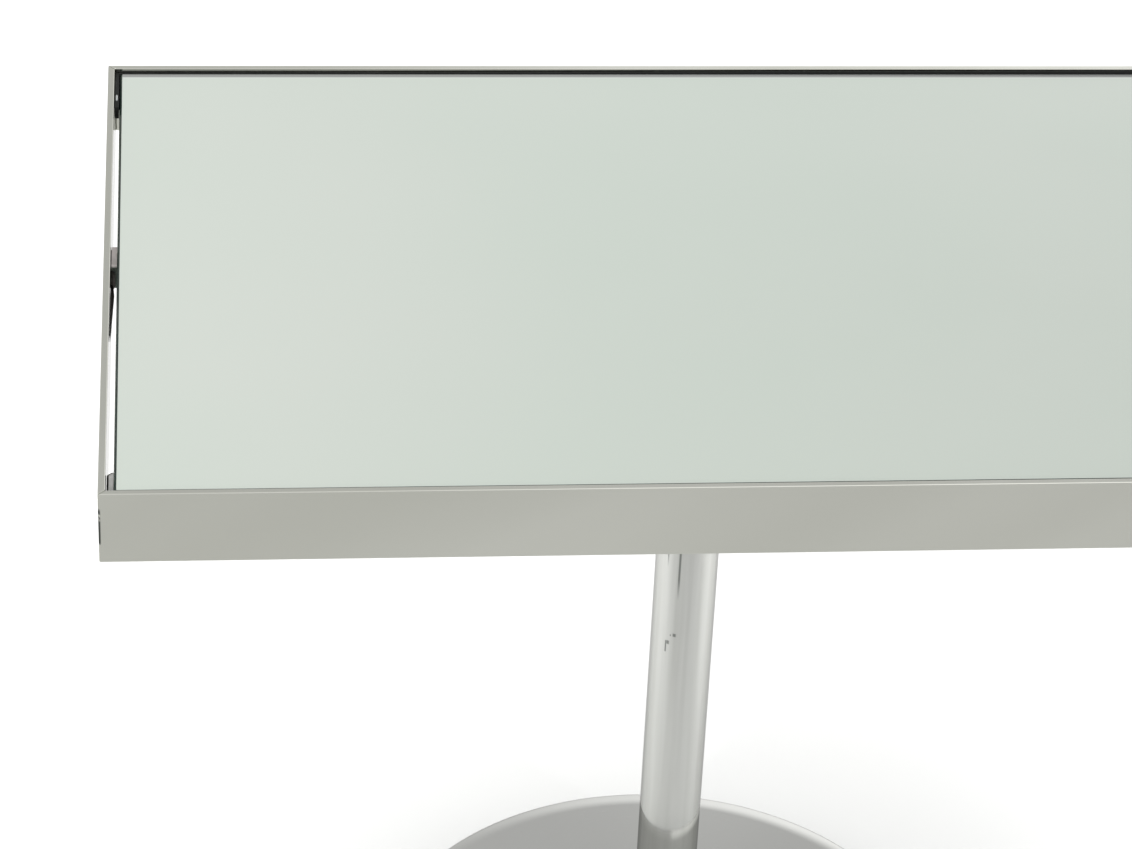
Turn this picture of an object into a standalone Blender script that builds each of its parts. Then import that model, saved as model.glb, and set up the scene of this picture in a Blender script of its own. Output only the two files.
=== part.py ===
"""Pedestal table with a drop-in opal glass top, a polished flat-bar frame and one round column.

Metres, +Z up. X runs along the table's length, -Y is the front, and the origin is on the
floor at the middle of the table. Every separate piece of the object is one mesh object.
"""

import math

import bmesh
import bpy
from mathutils import Matrix, Vector

# Driving dimensions
TABLE_LENGTH = 0.900
TABLE_DEPTH = 0.600
TABLE_HEIGHT = 0.750
PEDESTAL_SETBACK = 0.034  # column, base and beam behind the table's middle
GAP = 0.0003  # air left between pieces that touch
CUTTER_REACH = 0.002  # how far a cutter runs past the piece it cuts

# Frame of flat bar, standing on edge round the glass
BAR_THICK = 0.005
BAR_HEIGHT = 0.056
BAR_EDGE = 0.0005  # rounding of the bar's edges

# Glass, lying loose inside the frame
GLASS_THICK = 0.008
GLASS_DROP = 0.0035  # glass surface below the top of the frame
GLASS_SIDE_GAP = 0.0040
GLASS_FRONT_GAP = 0.0030
GLASS_BACK_GAP = 0.0026
GLASS_CORNER = 0.002
GLASS_EDGE = 0.0007

# Rubber gasket along the back bar, with a short return down each side
GASKET_THICK = 0.002
GASKET_DROP = 0.0008  # top of the gasket below the top of the frame
GASKET_RETURN = 0.060
GASKET_RETURN_THICK = 0.0034

# Silicone pads under the glass
PAD_RADIUS = 0.007
PAD_THICK = 0.003
BEAM_PAD_X = 0.250

# Box-section beam and rails under the glass
BEAM_WIDTH = 0.030
BEAM_HEIGHT = 0.020
BEAM_WALL = 0.002

# Angle brackets in the frame's corners
BRACKET_LENGTH = 0.042
BRACKET_REACH = 0.044
BRACKET_DROP = 0.020
BRACKET_THICK = 0.003
BRACKET_CHAMFER = 0.003
BRACKET_END_GAP = 0.0003

# Plate under the crossing of the beam and the rails
SPIDER_SIDE = 0.150
SPIDER_THICK = 0.005
BOLT_OFFSET = 0.045
BOLT_RADIUS = 0.004
BOLT_HEAD_FLATS = 0.013
BOLT_HEAD_THICK = 0.0053
BOLT_PROUD = 0.0015  # tip of a bolt above its nut
NUT_THICK = 0.0065
BOLT_HOLE_RADIUS = 0.0045

# Column, with the tie rod that pulls it together
COLUMN_RADIUS = 0.025
COLUMN_WALL = 0.002
FLANGE_RADIUS = 0.074
FLANGE_THICK = 0.008
SPIGOT_LENGTH = 0.020
SPIGOT_CHAMFER = 0.001
ROD_RADIUS = 0.006
ROD_END = 0.001  # rod below its nut, and its other end below the flange's top
ROD_NUT_FLATS = 0.019
ROD_NUT_THICK = 0.007
WASHER_RADIUS = 0.013
WASHER_THICK = 0.0022

# Base: an iron casting under a spun cover, on four screw glides
BASE_RADIUS = 0.236
BASE_EDGE_THICK = 0.012
HUB_RADIUS = 0.045
HUB_THICK = 0.0237
BASE_CHAMFER = 0.002
BASE_BORE_RADIUS = 0.0065
COUNTERBORE_RADIUS = 0.017
NUT_RECESS = 0.0015  # tie rod's nut above the underside of the casting
COVER_RADIUS = 0.240
COVER_THICK = 0.0015
COVER_SKIRT_Z = 0.0095
COVER_HOLE_RADIUS = 0.0265
COVER_SHOULDER = 0.006  # radius where the skirt turns into the slope
COVER_SHOULDER_TURN = 86  # degrees
COLLAR_RADIUS = 0.041
COLLAR_HEIGHT = 0.013
COLLAR_LIP = 0.003  # straight edge below the collar's rounding

GLIDE_CIRCLE = 0.200
GLIDE_PAD_RADIUS = 0.019
GLIDE_PAD_THICK = 0.008
GLIDE_PAD_CHAMFER = 0.001
GLIDE_PAD_SIDE = 0.0036  # height where the straight side meets the slope
GLIDE_POCKET_LIP = 0.004
GLIDE_POCKET_RADIUS = 0.0075
GLIDE_POCKET_FLOOR = 0.0025
STUD_RADIUS = 0.005
STUD_FOOT_RADIUS = 0.007
STUD_FOOT_THICK = 0.003
STUD_NECK_RADIUS = 0.004
STUD_HEX_FLATS = 0.013
STUD_HEX_THICK = 0.004
STUD_LENGTH = 0.0116  # threaded length above the hexagon

# Levels worked out from the dimensions above
GLASS_TOP_Z = TABLE_HEIGHT - GLASS_DROP
GLASS_BOTTOM_Z = GLASS_TOP_Z - GLASS_THICK
PAD_BOTTOM_Z = GLASS_BOTTOM_Z - GAP - PAD_THICK
SUPPORT_TOP_Z = PAD_BOTTOM_Z - GAP
BEAM_BOTTOM_Z = SUPPORT_TOP_Z - BEAM_HEIGHT
SPIDER_TOP_Z = BEAM_BOTTOM_Z - GAP
FLANGE_TOP_Z = SPIDER_TOP_Z - SPIDER_THICK - GAP
FLANGE_BOTTOM_Z = FLANGE_TOP_Z - FLANGE_THICK
STUD_FOOT_Z = GLIDE_POCKET_FLOOR + GAP
STUD_HEX_Z = GLIDE_PAD_THICK + GAP
BASE_BOTTOM_Z = STUD_HEX_Z + STUD_HEX_THICK + GAP
BASE_EDGE_Z = BASE_BOTTOM_Z + BASE_EDGE_THICK
HUB_TOP_Z = BASE_BOTTOM_Z + HUB_THICK
COLUMN_BOTTOM_Z = HUB_TOP_Z + GAP
COLUMN_TOP_Z = FLANGE_BOTTOM_Z - GAP
COVER_TOP_Z = HUB_TOP_Z + GAP + COVER_THICK

ROD_NUT_Z = BASE_BOTTOM_Z + NUT_RECESS
WASHER_Z = ROD_NUT_Z + ROD_NUT_THICK + GAP
COLUMN_AXIS = (0, PEDESTAL_SETBACK, 0)

CORNERS = {
    "front_left": (-1, -1),
    "front_right": (1, -1),
    "back_left": (-1, 1),
    "back_right": (1, 1),
}

# name: (colour, roughness, metallic)
MATERIALS = {
    "opal_glass": ((0.66, 0.72, 0.67), 0.08, 0.0),
    "polished_steel": ((0.62, 0.61, 0.57), 0.10, 1.0),
    "chrome": ((0.72, 0.72, 0.70), 0.06, 1.0),
    "mill_steel": ((0.40, 0.40, 0.39), 0.38, 1.0),
    "zinc_plate": ((0.56, 0.56, 0.54), 0.30, 1.0),
    "black_iron": ((0.05, 0.05, 0.05), 0.60, 0.3),
    "clear_silicone": ((0.75, 0.77, 0.76), 0.45, 0.0),
    "black_nylon": ((0.03, 0.03, 0.03), 0.55, 0.0),
    "black_rubber": ((0.015, 0.016, 0.015), 0.50, 0.0),
}


def clear_scene():
    for item in list(bpy.data.objects):
        bpy.data.objects.remove(item)


def make_material(name):
    colour, roughness, metallic = MATERIALS[name]
    material = bpy.data.materials.new(name)
    material.use_nodes = True
    shader = material.node_tree.nodes["Principled BSDF"]
    shader.inputs["Base Color"].default_value = (*colour, 1.0)
    shader.inputs["Roughness"].default_value = roughness
    shader.inputs["Metallic"].default_value = metallic
    return material


def get_material(name):
    return bpy.data.materials.get(name) or make_material(name)


def add_object(name, bm, material, location=(0, 0, 0), smooth_angle=30):
    """Turns a bmesh into a named object with outward faces."""
    bmesh.ops.recalc_face_normals(bm, faces=bm.faces)
    mesh = bpy.data.meshes.new(name)
    bm.to_mesh(mesh)
    bm.free()
    if smooth_angle:
        mesh.shade_smooth()
        mesh.set_sharp_from_angle(angle=math.radians(smooth_angle))
    mesh.materials.append(get_material(material))
    item = bpy.data.objects.new(name, mesh)
    item.location = location
    bpy.context.collection.objects.link(item)
    return item


def add_bevel(item, width, segments=2):
    bevel = item.modifiers.new("edge", "BEVEL")
    bevel.width = width
    bevel.segments = segments
    bevel.limit_method = "ANGLE"
    bevel.angle_limit = math.radians(40)
    return item


def prism(outline, low, high):
    """A flat outline in XY, extruded from z = low to z = high."""
    bm = bmesh.new()
    face = bm.faces.new([bm.verts.new((x, y, low)) for x, y in outline])
    raised = bmesh.ops.extrude_face_region(bm, geom=[face])
    top = [v for v in raised["geom"] if isinstance(v, bmesh.types.BMVert)]
    bmesh.ops.translate(bm, verts=top, vec=(0, 0, high - low))
    return bm


def lathe(profile, segments):
    """Turns a closed profile of (radius, z) points about Z. Points on the axis become one vertex."""
    bm = bmesh.new()
    columns = []
    for radius, z in profile:
        if radius == 0:
            columns.append([bm.verts.new((0, 0, z))] * segments)
            continue
        turn = [2 * math.pi * k / segments for k in range(segments)]
        columns.append([bm.verts.new((radius * math.cos(a), radius * math.sin(a), z)) for a in turn])
    for near, far in zip(columns, columns[1:] + columns[:1]):
        for k in range(segments):
            corners = [near[k], near[(k + 1) % segments], far[(k + 1) % segments], far[k]]
            unique = list(dict.fromkeys(corners))
            if len(unique) > 2:
                bm.faces.new(unique)
    return bm


def polygon(radius, sides):
    steps = [2 * math.pi * k / sides for k in range(sides)]
    return [(radius * math.cos(a), radius * math.sin(a)) for a in steps]


def ring_prism(outer, inner, low, high):
    """The solid between two outlines of the same number of points."""
    bm = bmesh.new()
    levels = [(outer, low), (outer, high), (inner, high), (inner, low)]
    loops = [[bm.verts.new((x, y, z)) for x, y in outline] for outline, z in levels]
    count = len(outer)
    for near, far in zip(loops, loops[1:] + loops[:1]):
        for k in range(count):
            bm.faces.new([near[k], near[(k + 1) % count], far[(k + 1) % count], far[k]])
    return bm


def loft(bm, levels):
    """Joins outlines of equal point count, one above the other, and closes both ends."""
    loops = [[bm.verts.new((x, y, z)) for x, y in outline] for outline, z in levels]
    count = len(loops[0])
    for near, far in zip(loops, loops[1:]):
        for k in range(count):
            bm.faces.new([near[k], near[(k + 1) % count], far[(k + 1) % count], far[k]])
    bm.faces.new(loops[0])
    bm.faces.new(loops[-1])


def arc(centre, radius, start, end, steps):
    """Points on an arc in the profile plane, angles in degrees from the outward radius."""
    angles = [math.radians(start + (end - start) * k / steps) for k in range(steps + 1)]
    return [(centre[0] + radius * math.cos(a), centre[1] + radius * math.sin(a)) for a in angles]


def cut_holes(item, places, radius, low, high):
    """Drills one round hole at each place, from z = low to z = high."""
    for number, (x, y) in enumerate(places):
        name = f"{item.name}_cutter_{number}"
        cutter = add_object(name, prism(polygon(radius, 24), low, high), "mill_steel", (x, y, 0))
        cutter.hide_render = True
        cutter.display_type = "WIRE"
        hole = item.modifiers.new(f"hole_{number}", "BOOLEAN")
        hole.operation = "DIFFERENCE"
        hole.solver = "EXACT"
        hole.object = cutter


def make_frame():
    """Four flat bars on edge, with mitred corners."""
    low, high = TABLE_HEIGHT - BAR_HEIGHT, TABLE_HEIGHT
    ease = GAP / math.sqrt(2)  # off each end, which leaves the gap across the mitre
    for name, length, depth, turn in (
        ("front_apron", TABLE_LENGTH, TABLE_DEPTH, 0),
        ("right_apron", TABLE_DEPTH, TABLE_LENGTH, 90),
        ("back_apron", TABLE_LENGTH, TABLE_DEPTH, 180),
        ("left_apron", TABLE_DEPTH, TABLE_LENGTH, 270),
    ):
        half = length / 2 - ease
        outer, inner = -depth / 2, -depth / 2 + BAR_THICK
        outline = [(-half, outer), (half, outer), (half - BAR_THICK, inner), (BAR_THICK - half, inner)]
        bm = prism(outline, low, high)
        bmesh.ops.rotate(bm, verts=bm.verts, matrix=Matrix.Rotation(math.radians(turn), 3, "Z"))
        add_bevel(add_object(name, bm, "polished_steel"), BAR_EDGE)


def make_glass():
    left = -TABLE_LENGTH / 2 + BAR_THICK + GLASS_SIDE_GAP
    front = -TABLE_DEPTH / 2 + BAR_THICK + GLASS_FRONT_GAP
    back = TABLE_DEPTH / 2 - BAR_THICK - GLASS_BACK_GAP
    outline = []
    for x, y, start in ((-left, back, 0), (left, back, 90), (left, front, 180), (-left, front, 270)):
        centre = (x - math.copysign(GLASS_CORNER, x), y - math.copysign(GLASS_CORNER, y))
        outline += arc(centre, GLASS_CORNER, start, start + 90, 4)
    bm = prism(outline, GLASS_BOTTOM_Z, GLASS_TOP_Z)
    add_bevel(add_object("glass_top", bm, "opal_glass"), GLASS_EDGE, 1)


def make_gasket():
    """Rubber between the back bar and the glass. Its ends turn the corners into the side gaps."""
    wall_x = TABLE_LENGTH / 2 - BAR_THICK - GAP
    wall_y = TABLE_DEPTH / 2 - BAR_THICK - GAP
    inner_x, inner_y = wall_x - GASKET_RETURN_THICK, wall_y - GASKET_THICK
    front = wall_y - GASKET_RETURN
    half = [(inner_x, inner_y), (inner_x, front), (wall_x, front), (wall_x, wall_y)]
    outline = half + [(-x, y) for x, y in reversed(half)]
    add_object("back_gasket", prism(outline, GLASS_BOTTOM_Z, TABLE_HEIGHT - GASKET_DROP), "black_rubber")


def box_section(width, height, wall, length):
    """A box-section tube along X, open at both ends, centred on the origin."""
    w, h = width / 2, height / 2
    outer = [(w, h), (-w, h), (-w, -h), (w, -h)]
    inner = [(math.copysign(abs(y) - wall, y), math.copysign(abs(z) - wall, z)) for y, z in outer]
    bm = ring_prism(outer, inner, -length / 2, length / 2)
    swap = Matrix(((0, 0, 1), (1, 0, 0), (0, 1, 0)))
    bmesh.ops.transform(bm, matrix=swap.to_4x4(), verts=bm.verts)
    return bm


def make_beams():
    """The beam along the length, over the column, and the front and back rails that meet it."""
    z = SUPPORT_TOP_Z - BEAM_HEIGHT / 2
    length = TABLE_LENGTH - 2 * (BAR_THICK + GAP)
    beam = box_section(BEAM_WIDTH, BEAM_HEIGHT, BEAM_WALL, length)
    add_object("centre_beam", beam, "mill_steel", (0, PEDESTAL_SETBACK, z))
    for name, side in (("front_rail", -1), ("back_rail", 1)):
        near = PEDESTAL_SETBACK + side * (BEAM_WIDTH / 2 + GAP)
        far = side * (TABLE_DEPTH / 2 - BAR_THICK - GAP)
        rail = box_section(BEAM_WIDTH, BEAM_HEIGHT, BEAM_WALL, abs(far - near))
        item = add_object(name, rail, "mill_steel", (0, (near + far) / 2, z))
        item.rotation_euler = (0, 0, math.radians(90))


def make_bracket(name, side_x, side_y):
    """An angle bracket welded inside the front or back bar, next to a corner."""
    wall_y = TABLE_DEPTH / 2 - BAR_THICK - GAP
    x0 = TABLE_LENGTH / 2 - BAR_THICK - BRACKET_END_GAP
    x1 = x0 - BRACKET_LENGTH
    y1 = wall_y - BRACKET_REACH
    low = SUPPORT_TOP_Z - BRACKET_DROP
    shelf = SUPPORT_TOP_Z - BRACKET_THICK
    section = [
        (wall_y, low),
        (wall_y, SUPPORT_TOP_Z),
        (y1, SUPPORT_TOP_Z),
        (y1, shelf),
        (wall_y - BRACKET_THICK, shelf),
        (wall_y - BRACKET_THICK, low),
    ]
    bm = bmesh.new()
    ends = []
    for x in (x0, x1):
        ends.append([])
        for y, z in section:
            slant = BRACKET_CHAMFER if y == y1 else 0
            ends[-1].append(bm.verts.new((side_x * (x - slant if x == x0 else x), side_y * y, z)))
    count = len(section)
    for k in range(count):
        after = (k + 1) % count
        bm.faces.new([ends[0][k], ends[0][after], ends[1][after], ends[1][k]])
    bm.faces.new(ends[0])
    bm.faces.new(ends[1])
    add_object(name, bm, "mill_steel", smooth_angle=0)


def make_pad(name, x, y):
    """A domed silicone disc that the glass lies on."""
    low, high = PAD_BOTTOM_Z, PAD_BOTTOM_Z + PAD_THICK
    edge = PAD_THICK / 3
    profile = [(0, low), (PAD_RADIUS, low), (PAD_RADIUS, high - edge), (PAD_RADIUS - edge, high), (0, high)]
    add_object(name, lathe(profile, 20), "clear_silicone", (x, y, 0))


def make_supports():
    """The four corner brackets, and the pads on them and on the beam."""
    pad_x = TABLE_LENGTH / 2 - BAR_THICK - BRACKET_END_GAP - BRACKET_LENGTH / 2
    pad_y = TABLE_DEPTH / 2 - BAR_THICK - GAP - BRACKET_REACH / 2
    for corner, (side_x, side_y) in CORNERS.items():
        make_bracket(f"corner_bracket_{corner}", side_x, side_y)
        make_pad(f"corner_pad_{corner}", side_x * pad_x, side_y * pad_y)
    make_pad("beam_pad_left", -BEAM_PAD_X, PEDESTAL_SETBACK)
    make_pad("beam_pad_right", BEAM_PAD_X, PEDESTAL_SETBACK)


def bolt_places():
    """Centres of the four bolts, round the column's axis."""
    return [(sx * BOLT_OFFSET, PEDESTAL_SETBACK + sy * BOLT_OFFSET) for sx, sy in CORNERS.values()]


def make_spider_plate():
    """The plate that the column's flange is bolted to."""
    half = SPIDER_SIDE / 2
    low = SPIDER_TOP_Z - SPIDER_THICK
    outline = [(-half, -half), (half, -half), (half, half), (-half, half)]
    plate = add_object("spider_plate", prism(outline, low, SPIDER_TOP_Z), "mill_steel", COLUMN_AXIS)
    reach = (low - CUTTER_REACH, SPIDER_TOP_Z + CUTTER_REACH)
    cut_holes(plate, bolt_places(), BOLT_HOLE_RADIUS, *reach)


def make_top_flange():
    """A turned flange whose spigot fits the column and takes the tie rod's thread."""
    bore = ROD_RADIUS + GAP
    spigot = COLUMN_RADIUS - COLUMN_WALL - GAP
    tip = FLANGE_BOTTOM_Z - SPIGOT_LENGTH
    profile = [
        (bore, FLANGE_TOP_Z),
        (bore, tip),
        (spigot - SPIGOT_CHAMFER, tip),
        (spigot, tip + SPIGOT_CHAMFER),
        (spigot, FLANGE_BOTTOM_Z),
        (FLANGE_RADIUS, FLANGE_BOTTOM_Z),
        (FLANGE_RADIUS, FLANGE_TOP_Z),
    ]
    flange = add_object("top_flange", lathe(profile, 48), "chrome", COLUMN_AXIS)
    reach = (FLANGE_BOTTOM_Z - CUTTER_REACH, FLANGE_TOP_Z + CUTTER_REACH)
    cut_holes(flange, bolt_places(), BOLT_HOLE_RADIUS, *reach)


def hexagon(flats, steps=1):
    """A hexagon's outline, each side cut into equal steps so that it can be joined to a circle."""
    corners = [Vector(point) for point in polygon(flats / math.sqrt(3), 6)]
    pairs = zip(corners, corners[1:] + corners[:1])
    return [a.lerp(b, k / steps) for a, b in pairs for k in range(steps)]


def make_flange_bolts():
    """Hexagon bolts from below, through the flange and the plate, with nuts on top."""
    under = FLANGE_BOTTOM_Z - GAP
    tip = SPIDER_TOP_Z + GAP + NUT_THICK + BOLT_PROUD
    head, shank = hexagon(BOLT_HEAD_FLATS, 2), polygon(BOLT_RADIUS, 12)
    for number, (x, y) in enumerate(bolt_places(), 1):
        bm = bmesh.new()
        levels = [(head, under - BOLT_HEAD_THICK), (head, under), (shank, under), (shank, tip)]
        loft(bm, levels)
        add_object(f"flange_bolt_{number}", bm, "zinc_plate", (x, y, 0))
        low = SPIDER_TOP_Z + GAP
        nut = ring_prism(head, polygon(BOLT_RADIUS + GAP, 12), low, low + NUT_THICK)
        add_object(f"flange_nut_{number}", nut, "zinc_plate", (x, y, 0))


def make_column():
    circle = polygon(COLUMN_RADIUS, 48)
    bore = polygon(COLUMN_RADIUS - COLUMN_WALL, 48)
    tube = ring_prism(circle, bore, COLUMN_BOTTOM_Z, COLUMN_TOP_Z)
    add_object("column_tube", tube, "chrome", COLUMN_AXIS)


def make_tie_rod():
    """A threaded rod from the flange down through the base, with its washer and nut below."""
    rod = prism(polygon(ROD_RADIUS, 24), ROD_NUT_Z - ROD_END, FLANGE_TOP_Z - ROD_END)
    add_object("tie_rod", rod, "zinc_plate", COLUMN_AXIS)
    bore = polygon(ROD_RADIUS + GAP, 24)
    nut = ring_prism(hexagon(ROD_NUT_FLATS, 4), bore, ROD_NUT_Z, ROD_NUT_Z + ROD_NUT_THICK)
    add_object("tie_rod_nut", nut, "zinc_plate", COLUMN_AXIS)
    washer = ring_prism(polygon(WASHER_RADIUS, 24), bore, WASHER_Z, WASHER_Z + WASHER_THICK)
    add_object("tie_rod_washer", washer, "zinc_plate", COLUMN_AXIS)


def glide_places():
    """Centres of the four glides, round the column's axis."""
    reach = GLIDE_CIRCLE / math.sqrt(2)
    return {corner: (sx * reach, PEDESTAL_SETBACK + sy * reach) for corner, (sx, sy) in CORNERS.items()}


def make_base_casting():
    """A heavy disc, sloped up to a hub with a spigot for the column."""
    spigot = COLUMN_RADIUS - COLUMN_WALL - GAP
    tip = HUB_TOP_Z + SPIGOT_LENGTH
    recess = WASHER_Z + WASHER_THICK + GAP
    profile = [
        (BASE_BORE_RADIUS, recess),
        (COUNTERBORE_RADIUS, recess),
        (COUNTERBORE_RADIUS, BASE_BOTTOM_Z),
        (BASE_RADIUS - BASE_CHAMFER, BASE_BOTTOM_Z),
        (BASE_RADIUS, BASE_BOTTOM_Z + BASE_CHAMFER),
        (BASE_RADIUS, BASE_EDGE_Z - BASE_CHAMFER),
        (BASE_RADIUS - BASE_CHAMFER, BASE_EDGE_Z),
        (HUB_RADIUS, HUB_TOP_Z),
        (spigot, HUB_TOP_Z),
        (spigot, tip - SPIGOT_CHAMFER),
        (spigot - SPIGOT_CHAMFER, tip),
        (BASE_BORE_RADIUS, tip),
    ]
    casting = add_object("base_casting", lathe(profile, 64), "black_iron", COLUMN_AXIS)
    reach = (BASE_BOTTOM_Z - CUTTER_REACH, HUB_TOP_Z)
    cut_holes(casting, glide_places().values(), STUD_RADIUS + GAP, *reach)


def cover_slope(radius, lift):
    """Height of the cover's slope at a radius, lift above the casting's slope."""
    foot = BASE_RADIUS - BASE_CHAMFER
    share = (foot - radius) / (foot - HUB_RADIUS)
    return BASE_EDGE_Z + lift + (HUB_TOP_Z - BASE_EDGE_Z) * share


def cover_side(skirt, lift):
    """One side of the cover, from the hem up the skirt, round the shoulder and in to the hole."""
    bend = skirt - COVER_SHOULDER
    centre = (bend, cover_slope(bend, lift) - COVER_SHOULDER)
    points = [(skirt, COVER_SKIRT_Z)]
    points += arc(centre, COVER_SHOULDER, 0, COVER_SHOULDER_TURN, 6)
    points += [(HUB_RADIUS, cover_slope(HUB_RADIUS, lift)), (COVER_HOLE_RADIUS, HUB_TOP_Z + lift)]
    return points


def make_base_cover():
    """A spun skin over the casting, with a hole for the column."""
    outside = cover_side(COVER_RADIUS, GAP + COVER_THICK)
    inside = cover_side(COVER_RADIUS - COVER_THICK, GAP)
    add_object("base_cover", lathe(outside + inside[::-1], 64), "chrome", COLUMN_AXIS)


def make_base_collar():
    """A turned ring that closes the cover round the column."""
    low = COVER_TOP_Z + GAP
    bore = COLUMN_RADIUS + GAP
    rounding = COLLAR_HEIGHT - COLLAR_LIP
    profile = [(bore, low), (COLLAR_RADIUS, low)]
    profile += arc((COLLAR_RADIUS - rounding, low + COLLAR_LIP), rounding, 0, 90, 6)
    profile += [(bore, low + COLLAR_HEIGHT)]
    add_object("base_collar", lathe(profile, 48), "chrome", COLUMN_AXIS)


def make_glide(corner, x, y):
    """A nylon pad on a screw. The screw's foot turns in the pad's pocket."""
    pocket = GLIDE_POCKET_RADIUS
    profile = [
        (0, 0),
        (GLIDE_PAD_RADIUS - GLIDE_PAD_CHAMFER, 0),
        (GLIDE_PAD_RADIUS, GLIDE_PAD_CHAMFER),
        (GLIDE_PAD_RADIUS, GLIDE_PAD_SIDE),
        (pocket + GLIDE_POCKET_LIP, GLIDE_PAD_THICK),
        (pocket, GLIDE_PAD_THICK),
        (pocket, GLIDE_POCKET_FLOOR),
        (0, GLIDE_POCKET_FLOOR),
    ]
    add_object(f"glide_pad_{corner}", lathe(profile, 32), "black_nylon", (x, y, 0))
    foot, neck, shank = (polygon(r, 12) for r in (STUD_FOOT_RADIUS, STUD_NECK_RADIUS, STUD_RADIUS))
    collar = hexagon(STUD_HEX_FLATS, 2)
    foot_top = STUD_FOOT_Z + STUD_FOOT_THICK
    hex_top = STUD_HEX_Z + STUD_HEX_THICK
    levels = [(foot, STUD_FOOT_Z), (foot, foot_top), (neck, foot_top), (neck, STUD_HEX_Z)]
    levels += [(collar, STUD_HEX_Z), (collar, hex_top), (shank, hex_top), (shank, hex_top + STUD_LENGTH)]
    bm = bmesh.new()
    loft(bm, levels)
    add_object(f"glide_stud_{corner}", bm, "zinc_plate", (x, y, 0))


def main():
    clear_scene()
    make_frame()
    make_glass()
    make_gasket()
    make_beams()
    make_supports()
    make_spider_plate()
    make_top_flange()
    make_flange_bolts()
    make_column()
    make_tie_rod()
    make_base_casting()
    make_base_cover()
    make_base_collar()
    for corner, (x, y) in glide_places().items():
        make_glide(corner, x, y)


main()
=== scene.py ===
"""Looks of a pedestal table with an opal glass top: camera, studio, materials and fine meshes."""

import math

import bmesh
import bpy
from mathutils import Matrix, Vector


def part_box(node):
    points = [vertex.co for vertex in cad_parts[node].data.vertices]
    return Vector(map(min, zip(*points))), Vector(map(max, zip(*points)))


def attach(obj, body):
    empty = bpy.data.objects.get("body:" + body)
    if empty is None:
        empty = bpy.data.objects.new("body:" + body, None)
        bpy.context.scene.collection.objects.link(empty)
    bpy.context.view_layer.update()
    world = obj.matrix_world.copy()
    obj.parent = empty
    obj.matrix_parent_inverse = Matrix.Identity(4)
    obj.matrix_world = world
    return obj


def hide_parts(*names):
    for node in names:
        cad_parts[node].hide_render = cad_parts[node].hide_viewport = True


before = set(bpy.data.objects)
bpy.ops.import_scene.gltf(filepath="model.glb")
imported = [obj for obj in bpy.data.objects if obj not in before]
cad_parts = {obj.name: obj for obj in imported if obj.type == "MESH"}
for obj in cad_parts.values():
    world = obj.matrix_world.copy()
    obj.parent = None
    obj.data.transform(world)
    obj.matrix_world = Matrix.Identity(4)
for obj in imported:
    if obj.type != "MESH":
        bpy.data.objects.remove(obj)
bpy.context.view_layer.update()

# Camera, in metres and degrees
CAMERA_AT = (-0.3789, -2.6063, 2.3307)
CAMERA_YAW = 8.357
CAMERA_PITCH = 34.044
CAMERA_ROLL = -4.025
CAMERA_LENS = 131.0
CAMERA_SHIFT = (-0.1215, 0.0492)

# Studio
FLOOR_SIZE = 60.0
FLOOR_Z = -0.0002  # just clear of the pads
FLOOR_COLOUR = (0.635, 0.635, 0.63)
# name, centre, size and power of the lamps that face straight down
PANELS = [
    ("back_panel", (0.0, 1.40, 0.60), (3.6, 2.1), 29.0),
    ("near_panel", (0.0, 0.60, 0.60), (2.0, 0.5), 8.5),
    ("left_panel", (-1.00, 0.10, 0.50), (1.0, 0.7), 2.9),
    ("right_panel", (0.84, 0.00, 0.25), (0.8, 0.9), 2.6),
]
SKY_TOP = 0.83
SKY_MIDDLE = 0.60
SKY_LOW_LEFT = 0.12
SKY_LOW_RIGHT = 0.70

# Glass
GLASS_ARRIS = 0.0020
FRONT_ARRIS = (0.0021, 0.0027)  # at the left and right ends
BACK_ARRIS = 0.0006
GLASS_SKEW = 0.0014  # the pane is cut that much out of square at its front left corner
PAINTED_VIEW_STRIP = 0.0053  # strip along the back edge where the white paint stops; its grey is painted, standing for the view through the glass out of its back edge

# Small shapes
SMOOTH_ANGLE = 35  # degrees between faces above which an edge is sharp
SECTION_WALL = 0.002
TUBE_CORNER = 0.003
WELD_RADIUS = 0.0022
REFLECTION_BEAD_RADIUS = (0.0021, 0.0004)  # of the dark bead along the end bars in front of the beam, a painted reflection in the bars' polished inner faces
REFLECTION_BEAD_LENGTH, REFLECTION_BEAD_END_Z = 0.105, 0.7360
BRACKET_THICK = 0.003
BRACKET_ARRIS = 0.0014
FRONT_CUT, BACK_CUT = 0.003, 0.013  # off the brackets' outer corners
GASKET_STRIP, GASKET_WIDE = 0.0020, 0.0034  # thickness along the back bar and of the two returns
GASKET_SHORT, GASKET_FALL = 0.0005, 0.0026
SLACK = 0.0003  # between a bore and what stands in it
HEX_FLATS = 0.013  # across the flats of every hexagon
THREAD_DEPTH = 0.61  # of the pitch
BOLT_RADIUS, BOLT_PITCH = 0.004, 0.00125
BOLT_HEAD = 0.0053
BOLT_HOLE_RADIUS = 0.0045
STUD_RADIUS, STUD_PITCH = 0.0050, 0.0015
STUD_FOOT_RADIUS, STUD_FOOT_THICK = 0.0070, 0.003
STUD_NECK_RADIUS = 0.0040
STUD_HEX_LOW, STUD_HEX_HIGH = 0.0083, 0.0123
REFLECTION_STREAK_SLANT = 32.0  # degrees, of the slanting bands of painted reflection on the bars

# Column
COLUMN_RADIUS = (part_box("column_tube")[1].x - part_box("column_tube")[0].x) / 2
# turn from the front and half width in degrees, then from and to below the column's top, softness
COLUMN_MARKS = [
    (-19.5, 2.7, 0.170, 0.272, 0.020),
    (-43.0, 1.8, 0.170, 0.243, 0.012),
    (-37.6, 2.1, 0.3130, 0.3250, 0.001),
    (-33.6, 4.0, 0.3125, 0.3170, 0.001),
    (-21.7, 4.2, 0.3045, 0.3085, 0.001),
    (-29.0, 1.6, 0.3060, 0.3085, 0.001),
]

CORNERS = {
    "front_left": (-1, -1),
    "front_right": (1, -1),
    "back_left": (-1, 1),
    "back_right": (1, 1),
}


# ---------------------------------------------------------------- materials


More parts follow.
